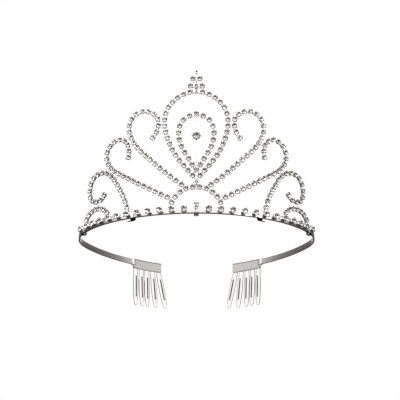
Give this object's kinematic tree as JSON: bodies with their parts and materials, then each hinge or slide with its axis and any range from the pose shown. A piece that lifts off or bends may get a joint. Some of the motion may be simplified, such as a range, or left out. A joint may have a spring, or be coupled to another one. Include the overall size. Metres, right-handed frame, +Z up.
{
  "type": "bridal tiara",
  "caption": "Crystal bridal tiara: open headband with claw-set teardrop, arch and scroll front, turning drop stone and clear side combs.",
  "frame": {"origin": "middle of the head opening, level with the headband's widest place, in the plane of its lower edge", "axes": "+Z up through the head opening, the decorated front towards -Y, +X to the wearer's left, along the widest extent"},
  "size_m": [0.15, 0.1402, 0.1189],
  "materials": {
    "crystal": "cut and polished clear crystal",
    "claw_silver": "bright rhodium plate",
    "clear_plastic": "clear moulded, glossy",
    "band_steel": "plated spring strip, satin",
    "rail_plate": "bright plate",
    "bright_tab": "bright folded tab",
    "dark_binding": "bound plated wire",
    "wire_silver": "bright plated wire"
  },
  "bodies": {
    "tiara": {"apex_link": "wire_silver", "base_crystals": "crystal", "base_rail": "rail_plate", "base_settings": "claw_silver", "centre_arch_crystals": "crystal", "centre_arch_settings": "claw_silver", "centre_arch_wire": "wire_silver", "centre_tie": "dark_binding", "comb_clip_left": "bright_tab", "comb_clip_right": "bright_tab", "comb_left": "clear_plastic", "comb_right": "clear_plastic", "drop_thread": "wire_silver", "end_strap_left": "bright_tab", "end_strap_right": "bright_tab", "finial_crystals": "crystal", "finial_post": "wire_silver", "finial_settings": "claw_silver", "front_strap_left": "bright_tab", "front_strap_right": "bright_tab", "headband": "band_steel", "inner_crook_left_crystals": "crystal", "inner_crook_left_settings": "claw_silver", "inner_crook_left_wire": "wire_silver", "inner_crook_right_crystals": "crystal", "inner_crook_right_settings": "claw_silver", "inner_crook_right_wire": "wire_silver", "inner_teardrop_crystals": "crystal", "inner_teardrop_settings": "claw_silver", "inner_teardrop_wire": "wire_silver", "outer_crook_left_crystals": "crystal", "outer_crook_left_settings": "claw_silver", "outer_crook_left_wire": "wire_silver", "outer_crook_right_crystals": "crystal", "outer_crook_right_settings": "claw_silver", "outer_crook_right_wire": "wire_silver", "outer_teardrop_crystals": "crystal", "outer_teardrop_settings": "claw_silver", "outer_teardrop_wire": "wire_silver", "side_loop_left_crystals": "crystal", "side_loop_left_settings": "claw_silver", "side_loop_left_wire": "wire_silver", "side_loop_right_crystals": "crystal", "side_loop_right_settings": "claw_silver", "side_loop_right_wire": "wire_silver", "side_swirl_left_crystals": "crystal", "side_swirl_left_settings": "claw_silver", "side_swirl_left_wire": "wire_silver", "side_swirl_right_crystals": "crystal", "side_swirl_right_settings": "claw_silver", "side_swirl_right_wire": "wire_silver"},
    "drop": {"drop_setting": "claw_silver", "drop_crystal": "crystal"}
  },
  "joints": [
    {"name": "drop_spin", "type": "hinge", "parent": "tiara", "child": "drop", "pos_m": [0, -0.0627, 0.0473], "axis": [0, 0, 1], "continuous": true}
  ]
}
